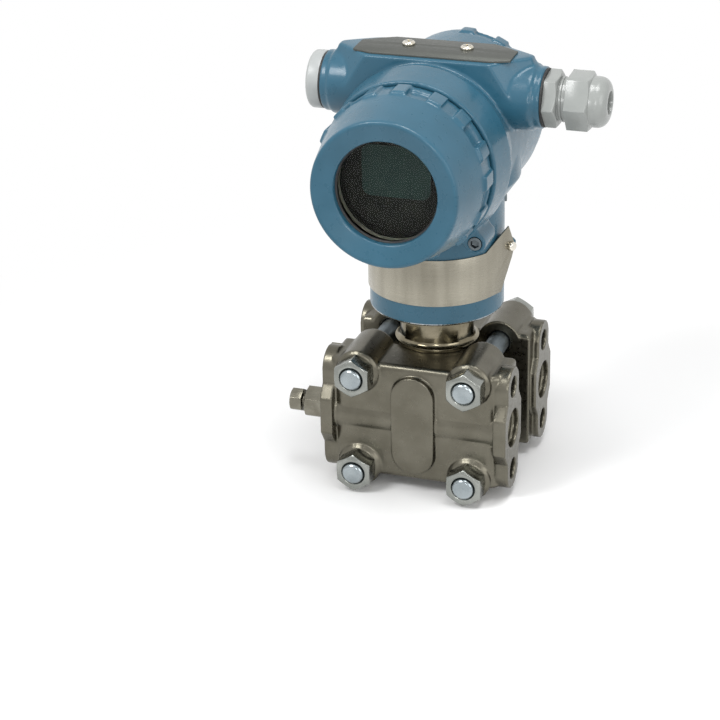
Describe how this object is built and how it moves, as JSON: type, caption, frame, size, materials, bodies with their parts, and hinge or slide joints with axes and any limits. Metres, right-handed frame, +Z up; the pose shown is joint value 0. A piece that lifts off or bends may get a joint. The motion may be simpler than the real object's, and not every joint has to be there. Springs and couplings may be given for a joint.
{
  "type": "differential pressure transmitter",
  "caption": "Process transmitter: round two-compartment housing with screwed window and blind covers, cable gland and plug, on a sensor neck clamped between bolted port flanges.",
  "frame": {"origin": "centre of the four tapped holes on the port faces of the two process flanges", "axes": "+X points out of the ports, +Z is up to the housing, -Y is the display side"},
  "size_m": [0.1418, 0.1276, 0.2039],
  "materials": {
    "blue_paint": "satin blue enamel on a die casting",
    "cast_stainless": "blasted stainless casting",
    "turned_stainless": "turned stainless steel",
    "zinc_steel": "bright zinc plated steel",
    "dark_steel": "dark plated steel",
    "bright_steel": "bright polished screw heads",
    "thin_foil": "thin rolled stainless band",
    "plate_grey": "grey matt plate",
    "black_rubber": "black rubber",
    "dark_plastic": "dark moulded case",
    "lcd_grey": "dark liquid crystal face",
    "window_glass": "clear toughened glass",
    "grey_plastic": "light grey moulded nylon",
    "plug_grey": "pale grey painted plug",
    "board_green": "lacquered circuit board",
    "terminal_black": "black moulded block",
    "brass": "plated brass",
    "seal_white": "white sealing ring"
  },
  "bodies": {
    "base": {"front_process_flange": "cast_stainless", "rear_process_flange": "cast_stainless", "sensor_module": "turned_stainless", "neck_seal": "black_rubber", "sensing_cell": "turned_stainless", "front_isolating_diaphragm": "turned_stainless", "rear_isolating_diaphragm": "turned_stainless", "front_process_gasket": "seal_white", "rear_process_gasket": "seal_white", "flange_bolts": "dark_steel", "flange_nuts": "zinc_steel", "front_vent_valve_body": "zinc_steel", "rear_vent_valve_body": "zinc_steel"},
    "housing": {"housing": "blue_paint", "electronics_board": "board_green", "board_posts": "brass", "display_case": "dark_plastic", "display_screen": "lcd_grey", "terminal_block": "terminal_black", "terminal_screws": "brass", "ground_screw": "brass", "nameplate": "plate_grey", "nameplate_screws": "bright_steel", "tag_band": "thin_foil", "tag_band_screw": "bright_steel", "plug_seal": "black_rubber", "conduit_plug": "plug_grey", "gland_seal": "black_rubber", "gland_body": "grey_plastic", "gland_grommet": "black_rubber", "cover_lock_screws": "dark_steel", "neck_lock_screw": "dark_steel"},
    "front_seal": {"front_cover_seal": "black_rubber"},
    "front_cover": {"front_cover": "blue_paint", "cover_window": "window_glass", "window_retainer": "dark_steel"},
    "rear_seal": {"rear_cover_seal": "black_rubber"},
    "rear_cover": {"rear_cover": "blue_paint"},
    "front_vent_screw": {"front_vent_screw": "dark_steel"},
    "rear_vent_screw": {"rear_vent_screw": "dark_steel"},
    "zero_button": {"zero_button": "grey_plastic"},
    "span_button": {"span_button": "grey_plastic"},
    "gland_nut": {"gland_nut": "grey_plastic"}
  },
  "joints": [
    {"name": "housing_turn", "type": "hinge", "parent": "base", "child": "housing", "pos_m": [-0.0444, 0, 0.05], "axis": [0, 0, 1], "range_deg": [-180, 180]},
    {"name": "front_cover_travel", "type": "slide", "parent": "housing", "child": "front_seal", "axis": [0, -1, 0], "range_m": [0, 0.012]},
    {"name": "front_cover_turn", "type": "hinge", "parent": "front_seal", "child": "front_cover", "pos_m": [-0.0444, -0.045, 0.1252], "axis": [0, -1, 0], "range_deg": [0, 2160]},
    {"name": "rear_cover_travel", "type": "slide", "parent": "housing", "child": "rear_seal", "axis": [0, 1, 0], "range_m": [0, 0.012]},
    {"name": "rear_cover_turn", "type": "hinge", "parent": "rear_seal", "child": "rear_cover", "pos_m": [-0.0444, 0.045, 0.1252], "axis": [0, 1, 0], "range_deg": [0, 2160]},
    {"name": "front_vent_turn", "type": "hinge", "parent": "base", "child": "front_vent_screw", "pos_m": [-0.097, -0.027, 0], "axis": [-1, 0, 0], "range_deg": [0, 360]},
    {"name": "rear_vent_turn", "type": "hinge", "parent": "base", "child": "rear_vent_screw", "pos_m": [-0.097, 0.027, 0], "axis": [-1, 0, 0], "range_deg": [0, 360]},
    {"name": "gland_nut_turn", "type": "hinge", "parent": "housing", "child": "gland_nut", "pos_m": [0.022, 0, 0.149], "axis": [1, 0, 0], "range_deg": [0, 360]},
    {"name": "zero_press", "type": "slide", "parent": "housing", "child": "zero_button", "axis": [0, 0, -1], "range_m": [0, 0.0012], "stiffness_N_per_m": 400, "springref_m": -0.0005},
    {"name": "span_press", "type": "slide", "parent": "housing", "child": "span_button", "axis": [0, 0, -1], "range_m": [0, 0.0012], "stiffness_N_per_m": 400, "springref_m": -0.0005}
  ],
  "couplings": [
    {"joint": "front_cover_travel", "follows": "front_cover_turn", "m_per_rad": 0.00031831},
    {"joint": "rear_cover_travel", "follows": "rear_cover_turn", "m_per_rad": 0.00031831}
  ]
}
